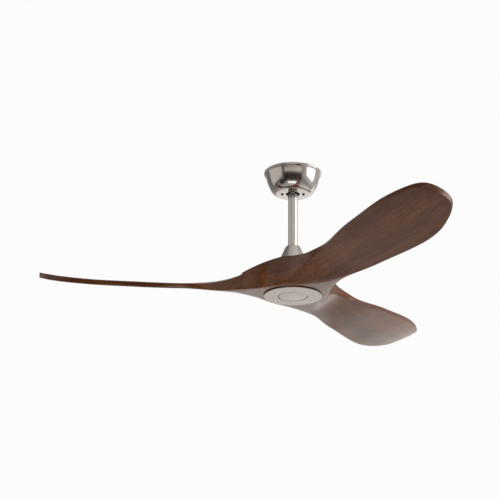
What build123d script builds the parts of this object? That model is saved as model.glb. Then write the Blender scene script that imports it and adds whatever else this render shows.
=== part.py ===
"""Downrod ceiling fan with three carved wooden blades, a motor inside the blade hub and a domed canopy.

Millimetres.  Origin on the fan axis at the ceiling face, +Z up, so the whole fan hangs below z = 0.
"""
import os
from math import cos, radians, sin, tan

from build123d import *

os.makedirs("parts", exist_ok=True)

# ---------------------------------------------------------------- driving dimensions
hub_face_z = -365.0          # flat underside of the wooden hub
sweep_radius = 700.0         # blade tip circle, 1400 mm sweep
blade_count = 3
first_blade_angle = 60.7      # first blade from +X, degrees
blade_thickness = 14.5

# canopy and ceiling bracket, heights from the ceiling
canopy_bottom_z = -65.0
canopy_opening_r = 20.0
canopy_wall = 1.3
canopy_screw_x = 30.0
bracket_plate = (124.0, 60.0, 3.0)
bracket_slot_x = 50.0
bracket_slot_length = 12.0
bracket_slot_width = 6.0
bracket_leg_x = 36.0
bracket_leg_gauge = 2.5
bracket_base_z = -63.5
bracket_base_half = 17.0
wire_hole = (-26.7, -20.0)

# hanging ball
ball_z = -40.0
ball_r = 26.0
seat_inner_r = 26.15
seat_outer_r = 28.85
cup_inner_r = 29.1
cup_outer_r = 31.5

# downrod
rod_r = 13.35
rod_bore_r = 10.35
rod_top_z = -16.0
rod_bottom_z = -274.7
rod_fit = 0.05

# hub heights below are measured up from the wooden hub's flat underside
cover_bottom = 86.0
cover_top = 142.0
cover_bottom_r = 45.0
cover_top_r = 19.5
cover_wall = 1.8
yoke_r = 20.0
yoke_bottom = 66.0
yoke_top = 124.0
clevis_height = 110.0
set_screw_height = 98.0
shaft_r = 7.5
shaft_bore_r = 4.5
shaft_bottom = 3.6
shaft_top = 88.0

# motor
drum_r = 62.5
drum_wall = 3.0
drum_top = 61.0
flange_r = 77.0
flange_gauge = 3.0
magnet_gauge = 3.3
stator_r = 55.4
stator_bottom = 22.0
stator_top = 42.0
slot_count = 12
bearing_outer_r = 17.5
bearing_width = 11.0
lower_bearing_z = 6.0
upper_bearing_z = 47.0
running_gap = 0.05

# wooden hub cavities
wood_bore_r = 63.5
wood_bore_top = 65.0
wood_counterbore_r = 77.4
wood_neck_r = 48.0
blade_screw_circle = 71.0
blade_screws_each = 3
seam_angle = 21.3            # trailing seam of each blade root, from the blade's own axis

# bottom plate
plate_r = 80.0
plate_gauge = 2.5
plate_opening_r = 41.6
gasket_gauge = 1.5
gasket_r = 78.3
cap_r = 41.0
plate_screw_circle = 60.0
plate_screw_count = 6
plate_screw_first = 36.0


# ---------------------------------------------------------------- small helpers
def cyl(radius, z0, z1):
    return Pos(0, 0, (z0 + z1) / 2) * Cylinder(radius, z1 - z0)


def tube(outer, inner, z0, z1):
    return cyl(outer, z0, z1) - cyl(inner, z0 - 1, z1 + 1)


def box(x0, x1, y0, y1, z0, z1):
    return Pos((x0 + x1) / 2, (y0 + y1) / 2, (z0 + z1) / 2) * Box(x1 - x0, y1 - y0, z1 - z0)


def rod_along(start, end, radius):
    path = Line(start, end)
    return sweep(Plane(origin=start, z_dir=path % 0) * Circle(radius), path=path)


def turned(points):
    """Solid of revolution from straight profile points given as (radius, height)."""
    outline = Polyline([(r, 0, z) for r, z in points], close=True)
    return revolve(make_face(outline), axis=Axis.Z)


def around(shape, count, first=0.0):
    return [Rot(0, 0, first + 360.0 * i / count) * shape for i in range(count)]


def from_hub(shape):
    return Pos(0, 0, hub_face_z) * shape


def save(name, shape):
    solid_list = shape if isinstance(shape, list) else [shape]
    solids = [s for item in solid_list for s in item.solids()]
    result = solids[0] if len(solids) == 1 else Compound(children=solids)
    result.label = name
    export_step(result, f"parts/{name}.step")


def pan_screw(head_r, head_h, shank_r, length):
    """Screw pointing up, head underside at z = 0, cross recess in the head."""
    head = fillet((cyl(head_r, -head_h, 0)).edges().group_by(Axis.Z)[0], head_h * 0.45)
    recess = box(-head_r * 0.6, head_r * 0.6, -0.5, 0.5, -head_h - 1, -head_h * 0.5)
    recess += Rot(0, 0, 90) * recess
    shank = cyl(shank_r, -0.1, length)
    shank = chamfer(shank.edges().group_by(Axis.Z)[-1], shank_r * 0.5)
    return head - recess + shank


# ---------------------------------------------------------------- ceiling bracket
def make_bracket():
    length, width, gauge = bracket_plate
    plate = extrude(Pos(0, 0, -gauge) * RectangleRounded(length, width, 10), gauge)
    for side in (-1, 1):
        slot = Pos(side * bracket_slot_x, 0, -gauge - 1) * SlotOverall(bracket_slot_length, bracket_slot_width)
        plate -= extrude(slot, gauge + 2)
    plate -= Pos(*wire_hole) * cyl(6.5, -gauge - 1, 1)
    base_half = bracket_leg_x + bracket_leg_gauge
    base_top = bracket_base_z + bracket_leg_gauge
    base = box(-base_half, base_half, -bracket_base_half, bracket_base_half, bracket_base_z, base_top)
    legs = box(-base_half, base_half, -bracket_base_half, bracket_base_half, bracket_base_z, -gauge)
    legs -= box(-bracket_leg_x, bracket_leg_x, -40, 40, bracket_base_z - 1, 1)
    cup = Pos(0, 0, ball_z) * (Sphere(cup_outer_r) - Sphere(cup_inner_r))
    cup &= cyl(40, bracket_base_z, ball_z - 3)
    bracket = plate + legs + base + cup
    bracket -= cyl(cup_inner_r * sin(radians(45)), bracket_base_z - 5, ball_z - 18)
    bracket -= Pos(0, 0, ball_z) * Sphere(cup_inner_r)
    bracket -= box(-14.5, 14.5, -60, 0, bracket_base_z - 1, ball_z + 5)
    for side in (-1, 1):
        bracket -= Pos(side * canopy_screw_x, 0, 0) * cyl(2.0, bracket_base_z - 1, bracket_base_z + 12)
    return bracket


# ---------------------------------------------------------------- canopy
def make_canopy():
    z0 = canopy_bottom_z
    rim_z = -8.0
    bowl = [(50, z0), (58.5, z0 + 7), (65.6, z0 + 19), (72.3, z0 + 36), (77.0, rim_z)]
    inner = [(50, z0 + canopy_wall), (57.6, z0 + 8), (64.3, z0 + 19.6), (71.0, z0 + 36.4), (75.7, rim_z)]
    with BuildPart() as shell:
        with BuildSketch(Plane.XZ):
            with BuildLine():
                Line((0, z0), (bowl[0][0], z0))
                Spline([(r, z) for r, z in bowl], tangents=[(1, 0.15), (0.15, 1)])
                Line((77.0, rim_z), (79.6, rim_z + 0.8))
                ThreePointArc((79.6, rim_z + 0.8), (81.7, rim_z + 4.0), (79.8, 0))
                Line((79.8, 0), (75.7, 0))
                Line((75.7, 0), (75.7, rim_z))
                Spline([(r, z) for r, z in reversed(inner)], tangents=[(-0.15, -1), (-1, -0.15)])
                Line((inner[0][0], z0 + canopy_wall), (0, z0 + canopy_wall))
                Line((0, z0 + canopy_wall), (0, z0))
            make_face()
        revolve(axis=Axis.Z)
    canopy = shell.part - cyl(canopy_opening_r, z0 - 2, z0 + 5)
    for side in (-1, 1):
        canopy -= Pos(side * canopy_screw_x, 0, 0) * cyl(2.3, z0 - 2, z0 + 5)
        canopy -= Pos(side * canopy_screw_x, 9, 0) * cyl(1.6, z0 - 2, z0 + 5)
    return canopy


def make_canopy_screws():
    screw = pan_screw(3.8, 2.2, 2.0, 9.0)
    return [Pos(side * canopy_screw_x, 0, canopy_bottom_z) * screw for side in (-1, 1)]


# ---------------------------------------------------------------- receiver and its leads
receiver_box = (-26.0, 26.0, 34.0, 54.0, -29.0, -bracket_plate[2])


def make_receiver():
    x0, x1, y0, y1, z0, z1 = receiver_box
    case = box(x0, x1, y0, y1, z0, z1)
    case = fillet(case.edges().filter_by(Axis.Z), 3)
    case = fillet(case.edges().group_by(Axis.Z)[0], 1.5)
    ears = box(-14, 14, 28, y0 + 1, z1 - 2, z1)
    return case + ears


def bent_route(points, reach):
    """Route of straight runs with a rounded bend at each inner point."""
    points = [Vector(*p) for p in points]
    lines, here = [], points[0]
    for before, corner, after in zip(points, points[1:], points[2:]):
        start = corner + (before - corner).normalized() * reach
        end = corner + (after - corner).normalized() * reach
        lines += [Line(here, start), Bezier(start, corner, end)]
        here = end
    lines.append(Line(here, points[-1]))
    return Wire([edge for line in lines for edge in line.edges()])


def make_receiver_leads():
    """Leads from the receiver's end wall, round beside the leg and down into the rod to the plug."""
    leads = []
    for x in (-2.2, 0.0, 2.2):
        path = bent_route([(26, 42 + x, -14), (31.4 + x, 42 + x, -14), (31.4 + x, -x, -10), (0, -x, -10),
                           (0, -x, -26)], 3.0)
        leads.append(sweep(Plane(origin=path @ 0, z_dir=path % 0) * Circle(1.0), path=path))
    return leads


def make_wire_connectors():
    caps = []
    for i, x in enumerate((-18.0, -9.0, 0.0)):
        cap = Cone(4.2, 2.6, 15, align=(Align.CENTER, Align.CENTER, Align.MIN))
        cap = fillet(cap.edges().group_by(Axis.Z)[-1], 1.5)
        caps.append(Pos(x, -36, -25 + i) * Rot(0, 0, 0) * cap)
    return caps


def make_supply_leads():
    leads = []
    for i, x in enumerate((-18.0, -9.0, 0.0)):
        path = Spline([(x, -36, -25.5 + i), (x * 1.02, -38, -36), (x * 0.9 - 13, -40, -36.5),
                       (x * 0.4 - 29, -31, -22), (x * 0.3 - 24, -21 + i, -0.5)],
                      tangents=[(0, 0, -1), (0, 0, 1)])
        leads.append(sweep(Plane(origin=path @ 0, z_dir=path % 0) * Circle(1.1), path=path))
    return leads


# ---------------------------------------------------------------- hanging ball, seat and downrod
def make_seat():
    seat = Sphere(seat_outer_r) - Sphere(seat_inner_r)
    seat &= cyl(40, -22, -6)
    seat -= cyl(19.3, -30, 0)
    return Pos(0, 0, ball_z) * seat


def make_ball():
    ball = Sphere(ball_r) & cyl(40, -21.5, 21.5)
    ball -= cyl(rod_r + rod_fit, -30, 30)
    ball -= Rot(0, 90, 0) * cyl(3.1, -30, 30)
    ball -= Pos(0, 0, 12) * Rot(90, 0, 0) * cyl(2.5, 0, 40)
    return Pos(0, 0, ball_z) * ball


def make_ball_pin():
    pin = chamfer(cyl(3.0, -23.5, 23.5).edges().filter_by(GeomType.CIRCLE), 0.8)
    return Pos(0, 0, ball_z) * Rot(0, 90, 0) * pin


def make_ball_set_screw():
    screw = cyl(2.4, rod_r, 22.5) - cyl(1.2, 18.5, 30)
    return Pos(0, 0, ball_z + 12) * Rot(90, 0, 0) * screw


def make_downrod():
    rod = tube(rod_r, rod_bore_r, rod_bottom_z, rod_top_z)
    rod = chamfer(rod.edges().filter_by(GeomType.CIRCLE), 0.5)
    rod -= Pos(0, 0, ball_z) * Rot(0, 90, 0) * cyl(3.1, -30, 30)
    rod -= Pos(0, 0, hub_face_z + clevis_height) * Rot(0, 90, 0) * cyl(3.1, -30, 30)
    return rod


def make_motor_cable():
    """Cable down the inside of the rod, past both cross pins, through the shaft to the driver board."""
    high = hub_face_z + 132
    low = hub_face_z + 84
    out = hub_face_z + 19.6
    with BuildPart() as cable:
        with BuildLine():
            a = Line((0, 7.0, ball_z + 9), (0, 7.0, high - 12))
            b = Spline([a @ 1, (0, 0, low)], tangents=[(0, 0, -1), (0, 0, -1)])
            c = Line(b @ 1, (0, 0, out + 8))
            d = Spline([c @ 1, (0, 2.6, out + 1.8), (0, 8.0, out), (0, 21.0, out)], tangents=[(0, 0, -1), (0, 1, 0)])
            Line(d @ 1, (0, 26.5, out - 2.2))
        with BuildSketch(Plane(origin=a @ 0, z_dir=(0, 0, -1))):
            Circle(1.5)
        sweep(transition=Transition.ROUND)
    return cable.part


def make_cable_plug():
    shell = box(-3.4, 3.4, -4.2, 3.4, ball_z + 5, ball_z + 14)
    return fillet(shell.edges().filter_by(Axis.Z), 1.0)


# ---------------------------------------------------------------- yoke, pins and motor shaft
def make_yoke():
    yoke = turned([(0, yoke_bottom), (24, yoke_bottom), (24, yoke_bottom + 6), (yoke_r, yoke_bottom + 9),
                   (yoke_r, yoke_top), (0, yoke_top)])
    yoke = chamfer(yoke.edges().group_by(Axis.Z)[-1], 1.2)
    yoke -= cyl(shaft_r, yoke_bottom - 1, shaft_top)
    yoke -= cyl(5.0, shaft_top - 1, 92)
    yoke -= cyl(rod_r + rod_fit, rod_bottom_z - hub_face_z, yoke_top + 1)
    yoke -= Pos(0, 0, clevis_height) * Rot(0, 90, 0) * cyl(3.1, -30, 30)
    yoke -= Pos(0, 0, set_screw_height) * Rot(90, 0, 0) * cyl(2.5, -30, 30)
    return from_hub(yoke)


def make_clevis_pin():
    pin = cyl(3.0, -yoke_r - 0.3, yoke_r + 5.5) + cyl(4.8, -yoke_r - 3.2, -yoke_r - 0.3)
    pin -= Pos(0, 0, yoke_r + 3.2) * Rot(90, 0, 0) * cyl(0.9, -5, 5)
    pin = Rot(0, 90, 0) * pin
    return from_hub(Pos(0, 0, clevis_height) * pin)


def make_cotter():
    x = yoke_r + 3.2
    with BuildPart() as clip:
        with BuildLine():
            a = Line((x, -5.5, 0), (x, 4.5, 0))
            b = ThreePointArc((x, 4.5, 0), (x, 8.0, 3.5), (x, 4.5, 7.0))
            c = Spline([b @ 1, (x, 2.5, 6.3), (x, 0.0, 4.1), (x, -3.5, 5.4)], tangents=[(0, -1, 0), (0, -1, 0.5)])
        with BuildSketch(Plane(origin=a @ 0, z_dir=(0, 1, 0))):
            Circle(0.75)
        sweep()
    return from_hub(Pos(0, 0, clevis_height) * clip.part)


def make_set_screws():
    screw = cyl(2.4, rod_r, yoke_r + 3.5) + cyl(3.8, yoke_r + 0.3, yoke_r + 3.5)
    screw -= cyl(1.4, yoke_r + 1.5, yoke_r + 6)
    return [from_hub(Pos(0, 0, set_screw_height) * Rot(turn, 0, 0) * screw) for turn in (90, -90)]


def make_shaft():
    shaft = cyl(shaft_r, shaft_bottom, shaft_top) - cyl(shaft_bore_r, shaft_bottom + 9, shaft_top + 1)
    shaft -= tube(shaft_r + 1, 6.6, shaft_bottom + 0.6, shaft_bottom + 2.4)
    shaft -= box(-2.6, 2.6, 0, 10, 16.6, 28)
    return from_hub(shaft)


def make_snap_ring():
    ring = tube(10.5, 6.65, shaft_bottom + 0.7, shaft_bottom + 2.3) - box(-2.2, 2.2, -12, 0, 0, 10)
    return from_hub(ring)


# ---------------------------------------------------------------- stator
def make_stator_core():
    core = tube(27.5, shaft_r, stator_bottom, stator_top)
    tooth = box(26, 53, -3.6, 3.6, stator_bottom, stator_top)
    shoe_half = 180.0 / slot_count - 2.0
    shoe = tube(stator_r, stator_r - 5.0, stator_bottom, stator_top)
    wedge = Polyline([(0, 0), (80 * cos(radians(shoe_half)), -80 * sin(radians(shoe_half))),
                      (80 * cos(radians(shoe_half)), 80 * sin(radians(shoe_half)))], close=True)
    shoe &= extrude(Pos(0, 0, stator_bottom - 1) * make_face(wedge), 40)
    limb = tooth + shoe
    for piece in around(limb, slot_count):
        core += piece
    core -= box(-3, 3, 0, 12, stator_bottom - 1, 28.6)
    return from_hub(core)


def make_windings():
    coil = box(28.5, 49.0, -6.2, 6.2, stator_bottom - 3.2, stator_top + 3.6)
    coil = fillet(coil.edges().filter_by(Axis.X), 2.8)
    coil -= box(20, 60, -3.6, 3.6, stator_bottom, stator_top)
    inner_room = Polyline([(0, 0), (90, -90 * tan(radians(14.6))), (90, 90 * tan(radians(14.6)))], close=True)
    coil &= extrude(Pos(0, 0, 0) * make_face(inner_room), 70)
    return [from_hub(piece) for piece in around(coil, slot_count)]


def make_driver_board():
    board = tube(48.5, 23.5, 13.0, 14.6)
    for post in around(Pos(25.6, 0, 0) * cyl(1.7, 14.0, stator_bottom), 3, 15):
        board += post
    for angle, size in ((20, 6), (75, 4), (110, 5), (200, 7), (255, 4), (310, 5)):
        chip = Rot(0, 0, angle) * Pos(37, 0, 0) * box(-size / 2, size / 2, -size, size, 11.4, 13.2)
        board += chip
    return from_hub(board)


# ---------------------------------------------------------------- rotor
def make_housing():
    drum = cyl(drum_r, flange_gauge, drum_top)
    drum = fillet(drum.edges().group_by(Axis.Z)[-1], 5)
    drum -= cyl(drum_r - drum_wall, flange_gauge - 1, drum_top - drum_wall)
    drum += cyl(bearing_outer_r + 3.5, upper_bearing_z, drum_top - drum_wall + 0.5)
    drum -= cyl(bearing_outer_r, upper_bearing_z - 1, upper_bearing_z + bearing_width)
    drum -= cyl(12.0, upper_bearing_z, drum_top + 1)
    for vent in around(Pos(38, 0, 0) * cyl(3.2, drum_top - 6, drum_top + 1), 12, 15):
        drum -= vent
    for boss in around(Pos(55.5, 0, 0) * cyl(4.6, flange_gauge, flange_gauge + 8), 6, 30 + plate_screw_first):
        drum += boss - tube(80, drum_r - 1, 0, 60)
    for hole in around(Pos(55.5, 0, 0) * cyl(1.7, 0, flange_gauge + 7), 6, 30 + plate_screw_first):
        drum -= hole
    return from_hub(drum)


def make_rotor_cover():
    boss_top = lower_bearing_z + bearing_width
    cover = cyl(flange_r, 0, flange_gauge) + cyl(bearing_outer_r + 3.5, 0, boss_top)
    cover -= cyl(bearing_outer_r, lower_bearing_z, boss_top + 1)
    cover -= cyl(13.0, 2.4, lower_bearing_z + 1)
    for hole in around(Pos(55.5, 0, 0) * (cyl(1.9, -1, 5) + cyl(3.5, -1, 1.8)), 6, 30 + plate_screw_first):
        cover -= hole
    for hole in around(Pos(plate_screw_circle, 0, 0) * cyl(1.6, -1, 5), plate_screw_count, plate_screw_first):
        cover -= hole
    for x, y in blade_screw_places():
        cover -= Pos(x, y, 0) * (cyl(2.1, -1, 5) + cyl(3.9, -1, 1.8))
    return from_hub(cover)


def make_housing_screws():
    screw = cyl(3.3, 0.2, 1.8) + cyl(1.65, 1.8, 9.6) - cyl(1.5, 0, 1.0)
    return [from_hub(piece) for piece in around(Pos(55.5, 0, 0) * screw, 6, 30 + plate_screw_first)]


def make_magnets():
    outer = drum_r - drum_wall
    return from_hub(tube(outer, outer - magnet_gauge, stator_bottom - 2, stator_top + 2))


def make_bearing(height):
    inner = shaft_r + running_gap
    outer = bearing_outer_r
    race = [(inner, 0), (inner + 2.6, 0), (inner + 2.6, 0.8), (outer - 2.6, 0.8), (outer - 2.6, 0), (outer, 0)]
    race += [(r, bearing_width - z) for r, z in reversed(race)]
    return from_hub(Pos(0, 0, height) * turned(race))


def blade_screw_places():
    """Blade screw centres on the flange, in blade order."""
    places = []
    for blade in range(blade_count):
        axis_angle = first_blade_angle + blade * 360.0 / blade_count
        for i in range(blade_screws_each):
            angle = radians(axis_angle + seam_angle - 20 - 40 * i)
            places.append((blade_screw_circle * cos(angle), blade_screw_circle * sin(angle)))
    return places


def make_blade_screws():
    screw = cyl(3.7, 0.2, 1.8) + chamfer(cyl(1.9, 1.7, 27).edges().group_by(Axis.Z)[-1], 1.2)
    screw -= cyl(1.6, 0, 1.0)
    return [from_hub(Pos(x, y, 0) * screw) for x, y in blade_screw_places()]


# ---------------------------------------------------------------- carved wooden blades
# Root of one blade as cross sections square to its axis at the given distance out.  Each row:
# distance, trailing edge offset, height of the trailing crest, end of the flat underside,
# leading lower corner (offset, height), leading crest (offset, height), mid crown (offset, height)
root_sections = [
    (-32, 62, 82, -150, (-151, 2), (-158, 40), (-84, 80)),
    (0, 62, 82, -120, (-121, 2), (-127, 60), (-70, 81)),
    (25, 62, 82, -100, (-101, 3), (-105, 71), (-62, 81)),
    (50, 62, 82, -83, (-84, 5), (-87, 77), (-48, 82)),
    (72, 62, 80, -62, (-68, 10), (-74, 79), (-30, 82)),
    (100, 60, 71, -30, (-59, 20), (-64, 74), (-15, 78)),
    (130, 54, 49, -4, (-56, 30), (-61, 68.5), (-6, 66)),
    (165, 46, 33, 18, (-53, 38), (-58.5, 63.5), (-6, 54)),
    (205, 43, 23, 31, (-54.5, 42), (-60.5, 60), (-7, 44)),
]
# Outer blade: distance, middle of the chord, half chord, height of the underside, pitch
outer_sections = [
    (275, -8.5, 64.5, 21.5, 19.3),
    (370, -12, 76, 24, 18.2),
    (460, -11, 83.5, 27.5, 18.1),
    (545, -11.5, 86.5, 32, 18.0),
    (600, -12.5, 81, 37, 17.6),
    (640, -14.5, 71, 42, 17.2),
    (668, -15.5, 60.5, 46.5, 16.7),
    (686, -16.5, 48, 50, 16.3),
    (695.5, -17, 33, 52.5, 16),
    (sweep_radius, -17, 12, 53.5, 15.8),
]


def wire_at(distance, corners):
    return Polyline([(distance, t, z) for t, z in corners], close=True)


def root_wire(row):
    distance, trail, trail_z, flat_end, lead, crest, crown = row
    return wire_at(distance, [(trail, 0), (flat_end, 0), lead, crest, crown, (trail, trail_z)])


def outer_wire(row):
    distance, middle, half, height, pitch = row
    c = cos(radians(pitch))
    s = sin(radians(pitch))

    def corner(along, up):
        return (middle + along * c + up * s, height - along * s + up * c)

    return wire_at(distance, [corner(half, 0), corner(half * 0.9, 0), corner(-half, 0),
                              corner(-half, blade_thickness), corner(0, blade_thickness),
                              corner(half, blade_thickness)])


def make_blade(index):
    wires = [root_wire(row) for row in root_sections] + [outer_wire(row) for row in outer_sections]
    blade = Solid.make_loft([Wire(w.edges()) for w in wires])
    a = radians(seam_angle)
    b = radians(seam_angle - 360.0 / blade_count)
    far = 1500.0
    sector = Polyline([(0, 0), (far * cos(b), far * sin(b)), (far, 0), (far * cos(a), far * sin(a))], close=True)
    blade = blade & extrude(make_face(sector), 200)
    core = cyl(wood_counterbore_r, -30, flange_gauge + 0.2) + cyl(wood_bore_r, -30, wood_bore_top)
    blade -= core + cyl(wood_neck_r, -30, 120)
    for i in range(blade_screws_each):
        turn = seam_angle - 20 - 40 * i
        blade -= Rot(0, 0, turn) * Pos(blade_screw_circle, 0, 0) * cyl(1.95, 0, 28)
    return from_hub(Rot(0, 0, first_blade_angle + index * 360.0 / blade_count) * blade)


# ---------------------------------------------------------------- bottom plate and cap
def make_gasket():
    gasket = tube(gasket_r, 46, -gasket_gauge, 0)
    for hole in around(Pos(plate_screw_circle, 0, 0) * cyl(1.7, -5, 5), plate_screw_count, plate_screw_first):
        gasket -= hole
    return from_hub(gasket)


def make_plate():
    low = -gasket_gauge - plate_gauge
    plate = cyl(plate_r, low, -gasket_gauge)
    plate = fillet(plate.edges().group_by(Axis.Z)[0], 0.8)
    plate -= cyl(plate_opening_r, low - 1, 1)
    hole = cyl(1.7, low - 1, 1) + cyl(2.7, low - 1, low + 1.2)
    for piece in around(Pos(plate_screw_circle, 0, 0) * hole, plate_screw_count, plate_screw_first):
        plate -= piece
    return from_hub(plate)


def make_plate_screws():
    low = -gasket_gauge - plate_gauge
    screw = cyl(2.5, low + 0.1, low + 1.2) + cyl(1.5, low + 1.1, 2.7)
    screw -= box(-1.6, 1.6, -0.3, 0.3, low - 1, low + 0.7) + box(-0.3, 0.3, -1.6, 1.6, low - 1, low + 0.7)
    places = around(Pos(plate_screw_circle, 0, 0) * screw, plate_screw_count, plate_screw_first)
    return [from_hub(piece) for piece in places]


def make_cap():
    low = -gasket_gauge - plate_gauge
    cap = fillet(cyl(cap_r, low, -gasket_gauge).edges().group_by(Axis.Z)[0], 0.5)
    cap += tube(38, 35, -gasket_gauge - 0.1, 0)
    return from_hub(cap)


# ---------------------------------------------------------------- coupling cover
def make_coupling_cover():
    slope = (cover_bottom_r - cover_top_r) / (cover_top - cover_bottom)
    w = cover_wall
    outline = [(cover_bottom_r, cover_bottom), (cover_top_r + 1.2 * slope, cover_top - 1.2),
               (cover_top_r - 1.6, cover_top), (16.5, cover_top), (16.5, cover_top - w),
               (cover_top_r - 2.4, cover_top - w), (cover_bottom_r - w - 0.2, cover_bottom)]
    return from_hub(turned(outline))


def make_cover_grommet():
    grommet = turned([(13.9, cover_top - 3.4), (16.9, cover_top - 3.4), (16.9, cover_top - cover_wall),
                      (16.5, cover_top - cover_wall), (16.5, cover_top + 0.6), (13.9, cover_top + 0.6)])
    return from_hub(grommet)


# ---------------------------------------------------------------- output
save("ceiling_bracket", make_bracket())
save("canopy", make_canopy())
save("canopy_screws", make_canopy_screws())
save("receiver", make_receiver())
save("receiver_leads", make_receiver_leads())
save("wire_connectors", make_wire_connectors())
save("supply_leads", make_supply_leads())
save("ball_seat", make_seat())
save("hanger_ball", make_ball())
save("ball_cross_pin", make_ball_pin())
save("ball_set_screw", make_ball_set_screw())
save("downrod", make_downrod())
save("motor_cable", make_motor_cable())
save("cable_plug", make_cable_plug())
save("yoke", make_yoke())
save("clevis_pin", make_clevis_pin())
save("cotter_clip", make_cotter())
save("yoke_set_screws", make_set_screws())
save("motor_shaft", make_shaft())
save("shaft_snap_ring", make_snap_ring())
save("stator_core", make_stator_core())
save("stator_windings", make_windings())
save("driver_board", make_driver_board())
save("coupling_cover", make_coupling_cover())
save("cover_grommet", make_cover_grommet())
save("rotor_housing", make_housing())
save("rotor_cover", make_rotor_cover())
save("housing_screws", make_housing_screws())
save("magnet_ring", make_magnets())
save("upper_bearing", make_bearing(upper_bearing_z))
save("lower_bearing", make_bearing(lower_bearing_z))
for blade_index in range(blade_count):
    save(f"blade_{blade_index + 1}", make_blade(blade_index))
save("blade_screws", make_blade_screws())
save("hub_gasket", make_gasket())
save("hub_plate", make_plate())
save("hub_plate_screws", make_plate_screws())
save("centre_cap", make_cap())
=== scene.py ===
import math

import bmesh
import bpy
import numpy as np
from mathutils import Matrix, Vector


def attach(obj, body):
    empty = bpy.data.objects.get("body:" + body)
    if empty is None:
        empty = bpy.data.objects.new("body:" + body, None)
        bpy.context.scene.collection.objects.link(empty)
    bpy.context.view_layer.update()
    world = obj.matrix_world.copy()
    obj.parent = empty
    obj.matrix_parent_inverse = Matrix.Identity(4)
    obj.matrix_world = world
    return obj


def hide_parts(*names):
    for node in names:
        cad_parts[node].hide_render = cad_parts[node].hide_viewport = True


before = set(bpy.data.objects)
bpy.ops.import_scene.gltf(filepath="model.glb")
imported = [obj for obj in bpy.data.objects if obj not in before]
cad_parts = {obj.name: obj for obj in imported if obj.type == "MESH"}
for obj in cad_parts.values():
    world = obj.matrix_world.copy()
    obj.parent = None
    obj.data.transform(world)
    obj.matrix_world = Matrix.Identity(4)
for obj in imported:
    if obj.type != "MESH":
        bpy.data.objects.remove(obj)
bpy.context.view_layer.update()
mm = 0.001
hubFace = -365.0   # flat underside of the wooden hub, mm below the ceiling
print("frame loaded,", len(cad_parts), "nodes")


# one node output that can be added, multiplied and so on
class Chan:
    def __init__(self, sheet, socket):
        self.sheet = sheet
        self.socket = socket

    def calc(self, operation, a, b):
        return self.sheet.add("ShaderNodeMath", {"operation": operation}, {0: a, 1: b})

    def __add__(self, other):
        return self.calc("ADD", self, other)

    def __radd__(self, other):
        return self.calc("ADD", other, self)

    def __sub__(self, other):
        return self.calc("SUBTRACT", self, other)

    def __rsub__(self, other):
        return self.calc("SUBTRACT", other, self)

    def __mul__(self, other):
        return self.calc("MULTIPLY", self, other)

    def __rmul__(self, other):
        return self.calc("MULTIPLY", other, self)


# the node tree of one finish
class Sheet:
    def __init__(self, name):
        self.material = bpy.data.materials.new(name)
        self.material.use_nodes = True
        self.tree = self.material.node_tree
        self.shader = self.tree.nodes["Principled BSDF"]

    def add(self, kind, settings=None, values=None, out=0):
        node = self.tree.nodes.new(kind)
        for key, value in (settings or {}).items():
            if key == "stops":
                ramp = node.color_ramp
                while len(ramp.elements) < len(value):
                    ramp.elements.new(0.5)
                for element, (place, colour) in zip(ramp.elements, value):
                    element.position = place
                    element.color = (*colour, 1)
            else:
                setattr(node, key, value)
        for key, value in (values or {}).items():
            self.put(node.inputs[key], value)
        return Chan(self, node.outputs[out])

    def put(self, socket, value):
        if isinstance(value, Chan):
            self.tree.links.new(value.socket, socket)
        elif isinstance(value, (tuple, list)) and len(value) == 3 and socket.type == "RGBA":
            socket.default_value = (*value, 1)
        else:
            socket.default_value = value

    def set(self, **values):
        for key, value in values.items():
            self.put(self.shader.inputs[socketNames[key]], value)

    def place(self, scale):
        spot = self.add("ShaderNodeTexCoord", out="Object")
        return self.add("ShaderNodeMapping", {}, {"Vector": spot, "Scale": scale})

    def noise(self, scale, size=1.0, detail=3.0, rough=0.5):
        values = {"Vector": self.place(scale), "Scale": size, "Detail": detail, "Roughness": rough}
        return self.add("ShaderNodeTexNoise", {}, values)

    def ramp(self, fac, stops):
        return self.add("ShaderNodeValToRGB", {"stops": stops}, {"Fac": fac})

    def blend(self, fac, a, b):
        return self.add("ShaderNodeMix", {"data_type": "RGBA"}, {0: fac, 6: a, 7: b}, out=2)

    def limits(self, value, low, high):
        return self.add("ShaderNodeMapRange", {}, {"Value": value, "To Min": low, "To Max": high})

    def bump(self, height, depth, strength):
        values = {"Height": height, "Distance": depth, "Strength": strength}
        self.set(normal=self.add("ShaderNodeBump", {}, values))


socketNames = {"base": "Base Color", "rough": "Roughness", "metal": "Metallic",
               "coat": "Coat Weight",
               "coatRough": "Coat Roughness", "normal": "Normal", "specular": "Specular IOR Level"}


def metalFinish(name, look):
    sheet = Sheet(name)
    fine = sheet.noise(look["brush"], 1.0, 3.0, 0.6)
    broad = sheet.noise((1, 1, 1), look["patch"], 2.0, 0.5)
    dark = tuple(c * look["shade"] for c in look["colour"])
    sheet.set(base=sheet.blend(sheet.limits(broad * 0.5 + fine * 0.5, 0.0, 1.0), dark, look["colour"]))
    low, high = look["rough"]
    sheet.set(rough=sheet.limits(fine * 0.6 + broad * 0.4, low, high), metal=1.0)
    sheet.bump(fine, look["depth"], 0.5)
    return sheet.material


def plainFinish(name, look):
    sheet = Sheet(name)
    grain = sheet.noise((1, 1, 1), look["grain"], 4.0, 0.6)
    broad = sheet.noise((1, 1, 1), look["grain"] * 0.06, 2.0, 0.5)
    dark = tuple(c * look["shade"] for c in look["colour"])
    sheet.set(base=sheet.blend(broad * 0.6 + grain * 0.4, dark, look["colour"]))
    low, high = look["rough"]
    sheet.set(rough=sheet.limits(grain, low, high), coat=look.get("coat", 0.0), coatRough=0.15)
    sheet.bump(grain, look["depth"], 0.6)
    return sheet.material


def dress(material, *nodes):
    for name in nodes:
        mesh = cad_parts[name].data
        mesh.materials.clear()
        mesh.materials.append(material)


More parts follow.
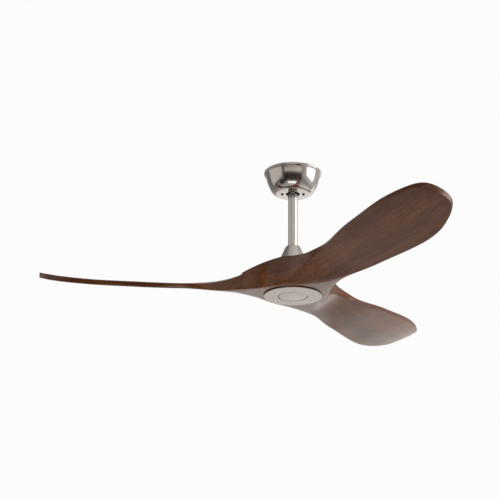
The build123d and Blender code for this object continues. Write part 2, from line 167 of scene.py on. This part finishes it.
def finishMesh(obj, angle):
    obj.data.shade_smooth()
    obj.data.set_sharp_from_angle(angle=math.radians(angle))
    return obj


def newPiece(name, mesh, material):
    obj = bpy.data.objects.new(name, mesh)
    bpy.context.collection.objects.link(obj)
    mesh.materials.clear()
    mesh.materials.append(material)
    return obj


# rounds each corner of an open profile given as (radius, height, rounding) in mm
def roundProfile(points, steps=5):
    result = []
    for i, (r, z, k) in enumerate(points):
        if k == 0 or i in (0, len(points) - 1):
            result.append((r, z))
            continue
        here = Vector((r, z))
        before = Vector(points[i - 1][:2]) - here
        after = Vector(points[i + 1][:2]) - here
        reach = min(k, before.length * 0.49, after.length * 0.49)
        a = here + before.normalized() * reach
        b = here + after.normalized() * reach
        for s in range(steps + 1):
            t = s / steps
            spot = a * (1 - t) ** 2 + here * 2 * t * (1 - t) + b * t ** 2
            result.append((spot.x, spot.y))
    return result


# the same for a profile whose heights are given above the hub's flat underside
def hubProfile(points):
    return roundProfile([(r, z + hubFace, k) for r, z, k in points])


def latheMesh(name, profile, segments, closed=False):
    bm = bmesh.new()
    rings = []
    for r, z in profile:
        if r < 1e-6:
            rings.append([bm.verts.new((0, 0, z * mm))])
        else:
            rings.append([bm.verts.new((r * mm * math.cos(a), r * mm * math.sin(a), z * mm))
                          for a in (2 * math.pi * s / segments for s in range(segments))])
    pairs = list(zip(rings, rings[1:])) + ([(rings[-1], rings[0])] if closed else [])
    for low, high in pairs:
        for s in range(segments):
            t = (s + 1) % segments
            if len(low) == 1 and len(high) == 1:
                continue
            if len(low) == 1:
                bm.faces.new((low[0], high[t], high[s]))
            elif len(high) == 1:
                bm.faces.new((low[s], low[t], high[0]))
            else:
                bm.faces.new((low[s], low[t], high[t], high[s]))
    bmesh.ops.recalc_face_normals(bm, faces=bm.faces)
    mesh = bpy.data.meshes.new(name)
    bm.to_mesh(mesh)
    bm.free()
    return mesh


# cuts a tool mesh out of an object and keeps the result as plain geometry
def carve(obj, toolMesh):
    tool = bpy.data.objects.new("cutter", toolMesh)
    bpy.context.collection.objects.link(tool)
    tool.matrix_world = obj.matrix_world
    cut = obj.modifiers.new("cut", "BOOLEAN")
    cut.operation = "DIFFERENCE"
    cut.solver = "EXACT"
    cut.object = tool
    bpy.context.view_layer.update()
    result = bpy.data.meshes.new_from_object(obj.evaluated_get(bpy.context.evaluated_depsgraph_get()))
    obj.modifiers.clear()
    obj.data = result
    bpy.data.objects.remove(tool)
    return obj


# smooth curve through values at given stations, with free ends
class Track:
    def __init__(self, stations, values):
        self.x = np.array(stations, float)
        self.y = np.array(values, float)
        n = len(self.x)
        h = np.diff(self.x)
        a = np.eye(n)
        b = np.zeros(n)
        for i in range(1, n - 1):
            a[i, i - 1:i + 2] = (h[i - 1], 2 * (h[i - 1] + h[i]), h[i])
            b[i] = 6 * ((self.y[i + 1] - self.y[i]) / h[i] - (self.y[i] - self.y[i - 1]) / h[i - 1])
        self.bend = np.linalg.solve(a, b)

    def at(self, x):
        i = int(np.clip(np.searchsorted(self.x, x) - 1, 0, len(self.x) - 2))
        h = self.x[i + 1] - self.x[i]
        p = (self.x[i + 1] - x) / h
        q = (x - self.x[i]) / h
        return (p * self.y[i] + q * self.y[i + 1]
                + ((p ** 3 - p) * self.bend[i] + (q ** 3 - q) * self.bend[i + 1]) * h * h / 6)


# carved walnut blade: grain runs along the blade's own x axis
walnut = {"heart": (0.080, 0.0220, 0.0052), "mid": (0.150, 0.0455, 0.0110),
          "pale": (0.256, 0.0890, 0.0240), "pore": (0.022, 0.0090, 0.005),
          "rough": (0.40, 0.52), "coat": 0.80, "coatRough": 0.18, "specular": 0.05,
          "toneStops": (0.36, 0.50, 0.64), "poreStops": (0.36, 0.44), "poreDark": 0.5,
          "relief": 0.0001, "reliefStrength": 0.25, "shift": (0.7, 0.31, 0.17)}


def walnutFinish(name, look, shift):
    sheet = Sheet(name)
    spot = sheet.add("ShaderNodeTexCoord", out="Object")

    def grain(scale, detail, rough, warp=0.0):
        placed = sheet.add("ShaderNodeMapping", {}, {"Vector": spot, "Location": shift, "Scale": scale})
        values = {"Vector": placed, "Scale": 1.0, "Detail": detail, "Roughness": rough,
                  "Distortion": warp}
        return sheet.add("ShaderNodeTexNoise", {}, values)

    broad = grain((1.6, 11.0, 11.0), 3.0, 0.5, 0.4)
    figure = grain((3.2, 62.0, 62.0), 4.0, 0.62, 0.3)
    streak = grain((7.0, 260.0, 260.0), 3.0, 0.6)
    pores = grain((45.0, 1100.0, 1100.0), 2.0, 0.5)
    tone = broad * 0.40 + figure * 0.32 + streak * 0.28
    colours = (look["heart"], look["mid"], look["pale"])
    colour = sheet.ramp(tone, list(zip(look["toneStops"], colours)))
    poreMask = sheet.ramp(pores, list(zip(look["poreStops"], ((1, 1, 1), (0, 0, 0)))))
    colour = sheet.blend(poreMask * look["poreDark"], colour, look["pore"])
    low, high = look["rough"]
    sheet.set(base=colour, rough=sheet.limits(figure * 0.5 + streak * 0.5, low, high))
    sheet.set(coat=look["coat"], coatRough=look["coatRough"], specular=look["specular"])
    sheet.bump(streak * 0.6 - poreMask * 0.4, look["relief"], look["reliefStrength"])
    return sheet.material


# cross sections square to the blade, mm: distance, trailing edge, trailing crest height, end of the flat,
# leading lower corner, leading crest, crown
bladeRoot = [
    (-32, 62, 82, -150, (-151, 2), (-158, 40), (-84, 80)),
    (0, 62, 82, -120, (-121, 2), (-127, 60), (-70, 81)),
    (25, 62, 82, -100, (-101, 3), (-105, 71), (-62, 81)),
    (50, 62, 82, -83, (-84, 5), (-87, 77), (-48, 82)),
    (72, 62, 80, -62, (-68, 10), (-74, 79), (-30, 82)),
    (100, 60, 71, -30, (-59, 20), (-64, 74), (-15, 78)),
    (130, 54, 49, -4, (-56, 30), (-61, 68.5), (-6, 66)),
    (165, 46, 33, 18, (-53, 38), (-58.5, 63.5), (-6, 54)),
    (205, 43, 23, 31, (-54.5, 42), (-60.5, 60), (-7, 44)),
]
# outer blade: distance, middle of the chord, half chord, underside height, pitch
bladeOuter = [
    (275, -8.5, 64.5, 21.5, 19.3), (370, -12, 76, 24, 18.2), (460, -11, 83.5, 27.5, 18.1),
    (545, -11.5, 86.5, 32, 18.0), (600, -12.5, 81, 37, 17.6), (640, -14.5, 71, 42, 17.2),
    (668, -15.5, 60.5, 46.5, 16.7), (686, -16.5, 48, 50, 16.3), (695.5, -17, 33, 52.5, 16),
    (700, -17, 12, 53.5, 15.8),
]
# gauge, corner roundings and bore in mm; seam, first blade and sharp-edge limit in degrees
blade = {"count": 3, "gauge": 14.5, "flatShare": 0.9, "slices": 150, "cornerSteps": 5,
         "rounding": (3.2, 16.0, 1.6, 4.0, 30.0, 3.6), "seam": 21.3, "first": 60.7, "sharp": 38,
         "bore": [(0, -20), (77.4, -20), (77.4, 3.2), (63.5, 3.2), (63.5, 65), (48, 65), (48, 120),
                  (0, 120)], "boreSegments": 128}
corners = len(blade["rounding"])
share = 360 // blade["count"]   # degrees of the hub that each blade carries


def bladeCorners():
    rows = []
    for r, trail, trailTop, flatEnd, lead, crest, crown in bladeRoot:
        rows.append((r, [(trail, 0), (flatEnd, 0), lead, crest, crown, (trail, trailTop)]))
    for r, middle, half, height, pitch in bladeOuter:
        c = math.cos(math.radians(pitch))
        s = math.sin(math.radians(pitch))
        g = blade["gauge"]
        flat = half * blade["flatShare"]
        section = ((half, 0), (flat, 0), (-half, 0), (-half, g), (0, g), (half, g))
        rows.append((r, [(middle + a * c + u * s, height - a * s + u * c) for a, u in section]))
    return rows


def bladeMesh():
    rows = bladeCorners()
    spread = [0.0]
    for (r0, c0), (r1, c1) in zip(rows, rows[1:]):
        step = max(math.hypot(r1 - r0, q[0] - p[0], q[1] - p[1]) for p, q in zip(c0, c1))
        spread.append(spread[-1] + step)
    along = Track(spread, [r for r, _ in rows])
    tracks = [[Track(spread, [c[k][axis] for _, c in rows]) for axis in (0, 1)] for k in range(corners)]
    bm = bmesh.new()
    rings = []
    for i in range(blade["slices"] + 1):
        u = spread[-1] * i / blade["slices"]
        r = along.at(u)
        outline = [Vector((across.at(u), up.at(u))) for across, up in tracks]
        ring = []
        for k, here in enumerate(outline):
            before = outline[k - 1] - here
            after = outline[(k + 1) % corners] - here
            reach = blade["rounding"][k]
            a = here + before.normalized() * min(reach, before.length * 0.45)
            b = here + after.normalized() * min(reach, after.length * 0.45)
            for s in range(blade["cornerSteps"] + 1):
                t = s / blade["cornerSteps"]
                spot = a * (1 - t) ** 2 + here * 2 * t * (1 - t) + b * t ** 2
                ring.append(bm.verts.new((r * mm, spot.x * mm, spot.y * mm)))
        rings.append(ring)
    n = len(rings[0])
    for low, high in zip(rings, rings[1:]):
        for s in range(n):
            bm.faces.new((low[s], low[(s + 1) % n], high[(s + 1) % n], high[s]))
    bm.faces.new(rings[0])
    bm.faces.new(rings[-1])
    bmesh.ops.recalc_face_normals(bm, faces=bm.faces)
    # keeps only the part of the hub that belongs to this blade
    for angle, side in ((blade["seam"], 1), (blade["seam"] - share, -1)):
        a = math.radians(angle)
        outward = (-math.sin(a) * side, math.cos(a) * side, 0)
        everything = bm.verts[:] + bm.edges[:] + bm.faces[:]
        cut = bmesh.ops.bisect_plane(bm, geom=everything, dist=1e-6, plane_co=(0, 0, 0),
                                     plane_no=outward, clear_outer=True)
        rim = [e for e in cut["geom_cut"] if isinstance(e, bmesh.types.BMEdge)]
        bmesh.ops.edgeloop_fill(bm, edges=rim)
    bmesh.ops.recalc_face_normals(bm, faces=bm.faces)
    mesh = bpy.data.meshes.new("blade")
    bm.to_mesh(mesh)
    bm.free()
    return mesh


finishes = [walnutFinish("walnut" + str(i + 1), walnut, tuple(part * i for part in walnut["shift"]))
            for i in range(blade["count"])]
cutBlade = newPiece("bladeBlank", bladeMesh(), finishes[0])
carve(cutBlade, latheMesh("bore", blade["bore"], blade["boreSegments"]))
finishMesh(cutBlade, blade["sharp"])
for i, finish in enumerate(finishes):
    piece = newPiece("woodBlade" + str(i + 1), cutBlade.data.copy(), finish)
    turn = math.radians(blade["first"] + share * i)
    piece.matrix_world = Matrix.Translation((0, 0, hubFace * mm)) @ Matrix.Rotation(turn, 4, "Z")
    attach(piece, "rotor")
    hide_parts("blade_" + str(i + 1))
bpy.data.objects.remove(cutBlade)
print("wooden blades carved")

# canopy: domed bowl with a rolled lip at the ceiling
canopy = {"colour": (0.59, 0.545, 0.510), "shade": 0.93, "brush": (60, 60, 60), "patch": 14.0,
          "rough": (0.14, 0.21), "depth": 0.00002, "segments": 192, "sharp": 32,
          "outer": [(20, -65, 0), (50, -65, 5), (58.5, -58, 8), (65.6, -46, 10), (72.3, -29, 12),
                    (77.0, -8, 3), (79.6, -7.2, 1), (81.2, -5.6, 1), (81.7, -3.6, 1.5),
                    (81.2, -1.4, 1), (79.8, 0, 0.5), (75.7, 0, 0.4), (75.7, -8, 2),
                    (71.0, -28.6, 12), (64.3, -45.4, 10), (57.6, -57, 8), (50, -63.7, 5),
                    (20, -63.7, 0)],
          "holes": [(30, 0, 2.3), (-30, 0, 2.3), (30, 9, 1.6), (-30, 9, 1.6)],
          "drillHeight": -0.0645, "drillLength": 0.01, "drillSegments": 32}
nickel = metalFinish("polishedNickel", canopy)
bowlMesh = latheMesh("canopyBowl", roundProfile(canopy["outer"]), canopy["segments"], closed=True)
bowl = newPiece("canopyBowl", bowlMesh, nickel)
drill = bmesh.new()
for x, y, r in canopy["holes"]:
    place = Matrix.Translation((x * mm, y * mm, canopy["drillHeight"]))
    bmesh.ops.create_cone(drill, cap_ends=True, segments=canopy["drillSegments"], radius1=r * mm,
                          radius2=r * mm, depth=canopy["drillLength"], matrix=place)
drillMesh = bpy.data.meshes.new("drill")
drill.to_mesh(drillMesh)
drill.free()
carve(bowl, drillMesh)
finishMesh(bowl, canopy["sharp"])
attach(bowl, "mount")
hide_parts("canopy")
print("canopy turned")

# coupling cover: satin cone over the yoke
cover = {"colour": (0.62, 0.57, 0.54), "shade": 0.94, "brush": (25, 25, 420), "patch": 10.0,
         "rough": (0.34, 0.46), "depth": 0.00002, "segments": 160, "sharp": 35,
         "outer": [(45, 86, 0.6), (20.2, 140.6, 1.2), (17.9, 142, 0.8), (16.5, 142, 0.3),
                   (16.5, 140.2, 0.3), (17.1, 140.2, 0.3), (43.0, 86, 0.4)]}
coneMesh = latheMesh("coverCone", hubProfile(cover["outer"]), cover["segments"], closed=True)
cone = newPiece("coverCone", coneMesh, metalFinish("coverNickel", cover))
finishMesh(cone, cover["sharp"])
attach(cone, "coupling_cover")
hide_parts("coupling_cover")
print("coupling cover turned")

# bottom plate and centre cap: light satin nickel with a fine turned grain
plate = {"colour": (0.54, 0.495, 0.450), "shade": 0.84, "brush": (240, 240, 240), "patch": 9.0,
         "rough": (0.30, 0.42), "depth": 0.000015}
plateMetal = metalFinish("plateNickel", plate)
dress(plateMetal, "hub_plate")
lid = {"segments": 128, "sharp": 40,
       "outer": [(0, -4, 0), (39.0, -4.0, 2.5), (40.4, -2.6, 0.8), (40.4, -1.5, 0.2), (38, -1.5, 0),
                 (38, 0, 0), (35, 0, 0), (35, -1.5, 0), (0, -1.5, 0)]}
lidMesh = latheMesh("lidPiece", hubProfile(lid["outer"]), lid["segments"])
lidPiece = newPiece("lidPiece", lidMesh, plateMetal)
finishMesh(lidPiece, lid["sharp"])
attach(lidPiece, "rotor")
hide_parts("centre_cap")
plateScrew = {"colour": (0.42, 0.39, 0.36), "shade": 0.8, "brush": (200, 200, 200), "patch": 60.0,
              "rough": (0.3, 0.45), "depth": 0.00002}
dress(metalFinish("plateScrew", plateScrew), "hub_plate_screws")

# downrod and the other metal parts that keep their CAD shape
rod = {"colour": (0.60, 0.56, 0.53), "shade": 0.93, "brush": (160, 160, 6), "patch": 12.0,
       "rough": (0.22, 0.33), "depth": 0.00002}
dress(metalFinish("satinNickel", rod), "downrod")
zinc = {"colour": (0.52, 0.53, 0.52), "shade": 0.8, "brush": (90, 90, 90), "patch": 40.0,
        "rough": (0.35, 0.5), "depth": 0.00003}
dress(metalFinish("zincSteel", zinc), "ceiling_bracket")
bright = {"colour": (0.60, 0.60, 0.58), "shade": 0.85, "brush": (300, 300, 40), "patch": 60.0,
          "rough": (0.22, 0.36), "depth": 0.00002}
dress(metalFinish("brightSteel", bright), "ball_cross_pin", "ball_set_screw", "clevis_pin", "cotter_clip",
      "yoke_set_screws", "motor_shaft", "housing_screws", "blade_screws")
bearing = {"colour": (0.50, 0.51, 0.52), "shade": 0.9, "brush": (200, 200, 200), "patch": 50.0,
           "rough": (0.15, 0.25), "depth": 0.00001}
dress(metalFinish("bearingSteel", bearing), "upper_bearing", "lower_bearing")
spring = {"colour": (0.16, 0.16, 0.17), "shade": 0.8, "brush": (200, 200, 200), "patch": 50.0,
          "rough": (0.25, 0.4), "depth": 0.00001}
dress(metalFinish("springSteel", spring), "shaft_snap_ring")
alloy = {"colour": (0.50, 0.50, 0.49), "shade": 0.85, "brush": (420, 420, 420), "patch": 20.0,
         "rough": (0.4, 0.58), "depth": 0.00006}
dress(metalFinish("castAlloy", alloy), "rotor_housing", "rotor_cover")
laminate = {"colour": (0.20, 0.20, 0.21), "shade": 0.55, "brush": (8, 8, 1900), "patch": 30.0,
            "rough": (0.4, 0.6), "depth": 0.0001}
dress(metalFinish("coreLaminate", laminate), "stator_core")
copper = {"colour": (0.62, 0.27, 0.13), "shade": 0.6, "brush": (40, 1100, 1100), "patch": 30.0,
          "rough": (0.22, 0.4), "depth": 0.0002}
dress(metalFinish("copperWire", copper), "stator_windings")
magnetLook = {"colour": (0.15, 0.15, 0.16), "shade": 0.8, "brush": (200, 200, 200),
              "patch": 30.0, "rough": (0.3, 0.45), "depth": 0.00002}
dress(metalFinish("magnetPlate", magnetLook), "magnet_ring")
enamel = {"colour": (0.035, 0.034, 0.033), "shade": 0.8, "grain": 700.0,
          "rough": (0.35, 0.5), "depth": 0.00004, "coat": 0.2}
dress(plainFinish("darkEnamel", enamel), "hanger_ball", "yoke")
blacked = {"colour": (0.012, 0.011, 0.011), "shade": 0.7, "grain": 900.0,
           "rough": (0.45, 0.6), "depth": 0.00003}
dress(plainFinish("blackOxide", blacked), "canopy_screws")
print("metal parts dressed")

rubber = {"colour": (0.020, 0.019, 0.018), "shade": 0.75, "grain": 900.0,
          "rough": (0.6, 0.8), "depth": 0.00004}
dress(plainFinish("blackRubber", rubber), "cover_grommet", "hub_gasket")
nylon = {"colour": (0.025, 0.025, 0.027), "shade": 0.8, "grain": 700.0,
         "rough": (0.4, 0.55), "depth": 0.00003}
dress(plainFinish("blackNylon", nylon), "ball_seat")
case = {"colour": (0.66, 0.66, 0.62), "shade": 0.94, "grain": 1100.0,
        "rough": (0.42, 0.55), "depth": 0.00004}
dress(plainFinish("whiteCase", case), "receiver", "cable_plug")
board = {"colour": (0.012, 0.085, 0.030), "shade": 0.6, "grain": 500.0,
         "rough": (0.25, 0.4), "depth": 0.00002, "coat": 0.4}
dress(plainFinish("boardGreen", board), "driver_board")
jacket = {"colour": (0.028, 0.028, 0.030), "shade": 0.8, "grain": 900.0,
          "rough": (0.4, 0.55), "depth": 0.00003}
dress(plainFinish("cableJacket", jacket), "motor_cable", "receiver_leads")
supply = {"colour": (0.56, 0.54, 0.47), "shade": 0.9, "grain": 900.0,
          "rough": (0.4, 0.55), "depth": 0.00003}
dress(plainFinish("supplyJacket", supply), "supply_leads")
caps = {"colour": (0.72, 0.24, 0.025), "shade": 0.9, "grain": 900.0,
        "rough": (0.25, 0.4), "depth": 0.00003, "coat": 0.3}
dress(plainFinish("capPlastic", caps), "wire_connectors")
print("plastics and rubber dressed")

# camera well below the blades, looking up
view = {"spot": (0.0, -3.5672, -1.5268), "tilt": 19.94, "lens": 98.11, "shift": -0.0857,
        "sensor": 36.0, "reach": 100.0}
cameraData = bpy.data.cameras.new("camera")
cameraData.lens = view["lens"]
cameraData.sensor_width = view["sensor"]
cameraData.shift_x = view["shift"]
cameraData.clip_end = view["reach"]
camera = bpy.data.objects.new("camera", cameraData)
bpy.context.collection.objects.link(camera)
camera.location = view["spot"]
camera.rotation_euler = (math.radians(90 + view["tilt"]), 0, 0)
bpy.context.scene.camera = camera

# pale floor and soft studio light; each light is place, target, size, watts, tint
studio = {"floor": -2.55, "floorSize": 12.0, "floorRough": 0.6, "cardRough": 0.9,
          "floorTones": [(0.3, (0.80, 0.80, 0.80)), (0.7, (0.84, 0.84, 0.84))],
          "cardTones": [(0.3, (0.004, 0.004, 0.004)), (0.7, (0.009, 0.008, 0.008))],
          "toward": (0.85, 0.45, -0.25), "fade": (-0.7, 0.9), "dim": 0.12, "bright": 0.60,
          "air": (1.0, 0.985, 0.97, 1), "seen": (0.975, 0.975, 0.975, 1), "sheenOnly": 4,
          "lights": [((2.9, -0.35, 0.40), (0, 0, -0.25), (2.3, 1.8), 42.0, (1.0, 0.96, 0.92)),
                     ((1.4, 4.0, -1.1), (0, 0, -0.35), (4.8, 2.6), 27.0, (1.0, 0.98, 0.96)),
                     ((2.3, 2.0, -0.5), (2.3, 2.0, -2.5), (2.4, 2.4), 36.0, (1.0, 0.98, 0.97)),
                     ((0.0, -4.2, 0.95), (0, 0, -0.20), (6.4, 3.0), 34.0, (1.0, 0.96, 0.93)),
                     ((0.0, -1.7, -1.48), (0, 0, -0.05), (1.6, 0.6), 6.4, (1.0, 0.98, 0.96)),
                     ((-3.1, -0.5, 0.30), (0, 0, -0.15), (4.2, 2.6), 21.0, (1.0, 0.96, 0.93)),
                     ((0.2, -0.6, 2.6), (0, 0, -0.25), (3.2, 3.2), 21.0, (1.0, 0.99, 0.98))],
          "cards": [((0.0, -1.5, -0.69), (2.7, 0.76), (0, 0, -0.05)),
                    ((-1.3, -0.9, -0.9), (0.8, 0.5), (0, 0, -0.05))]}
scene = bpy.context.scene
scene.view_settings.view_transform = "Standard"
world = bpy.data.worlds.new("studioWorld")
scene.world = world
world.use_nodes = True
worldTree = world.node_tree


def worldNode(kind, settings, values):
    node = worldTree.nodes.new(kind)
    for key, value in settings.items():
        setattr(node, key, value)
    for key, value in values.items():
        if isinstance(value, bpy.types.NodeSocket):
            worldTree.links.new(value, node.inputs[key])
        else:
            node.inputs[key].default_value = value
    return node.outputs


heading = worldNode("ShaderNodeTexCoord", {}, {})["Generated"]
toward = Vector(studio["toward"]).normalized()
facing = worldNode("ShaderNodeVectorMath", {"operation": "DOT_PRODUCT"},
                   {0: heading, 1: toward})["Value"]
near, far = studio["fade"]
glow = worldNode("ShaderNodeMapRange", {}, {"Value": facing, "From Min": near, "From Max": far,
                                            "To Min": studio["dim"], "To Max": studio["bright"]})[0]
lit = worldNode("ShaderNodeBackground", {}, {"Color": studio["air"], "Strength": glow})[0]
seen = worldNode("ShaderNodeBackground", {}, {"Color": studio["seen"], "Strength": 1.0})[0]
direct = worldNode("ShaderNodeLightPath", {}, {})["Is Camera Ray"]
mixed = worldNode("ShaderNodeMixShader", {}, {0: direct, 1: lit, 2: seen})[0]
worldTree.links.new(mixed, worldTree.nodes["World Output"].inputs["Surface"])

for i, (spot, target, size, power, tint) in enumerate(studio["lights"]):
    lamp = bpy.data.lights.new("softbox" + str(i), "AREA")
    lamp.shape = "RECTANGLE"
    lamp.size, lamp.size_y = size
    lamp.energy = power
    lamp.color = tint
    lampObject = bpy.data.objects.new("softbox" + str(i), lamp)
    bpy.context.collection.objects.link(lampObject)
    lampObject.location = spot
    lampObject.rotation_euler = (Vector(target) - Vector(spot)).to_track_quat("-Z", "Y").to_euler()
    lampObject.visible_camera = False
    lampObject.visible_diffuse = i != studio["sheenOnly"]


def flatMesh(name, width, height):
    w = width / 2
    h = height / 2
    mesh = bpy.data.meshes.new(name)
    mesh.from_pydata([(-w, -h, 0), (w, -h, 0), (w, h, 0), (-w, h, 0)], [], [(0, 1, 2, 3)])
    return mesh


cardSheet = Sheet("darkCard")
cardSheet.set(base=cardSheet.ramp(cardSheet.noise((1, 1, 1), 3.0), studio["cardTones"]),
              rough=studio["cardRough"])
for i, (spot, size, target) in enumerate(studio["cards"]):
    card = newPiece("card" + str(i), flatMesh("card" + str(i), *size), cardSheet.material)
    card.location = spot
    card.rotation_euler = (Vector(target) - Vector(spot)).to_track_quat("-Z", "Y").to_euler()
    card.visible_camera = False
    card.visible_shadow = False

floorSheet = Sheet("paleFloor")
floorSheet.set(base=floorSheet.ramp(floorSheet.noise((1, 1, 1), 1.5), studio["floorTones"]),
               rough=studio["floorRough"])
floorMesh = flatMesh("floor", studio["floorSize"], studio["floorSize"])
floor = newPiece("floor", floorMesh, floorSheet.material)
floor.location = (0, 0, studio["floor"])
print("studio set")
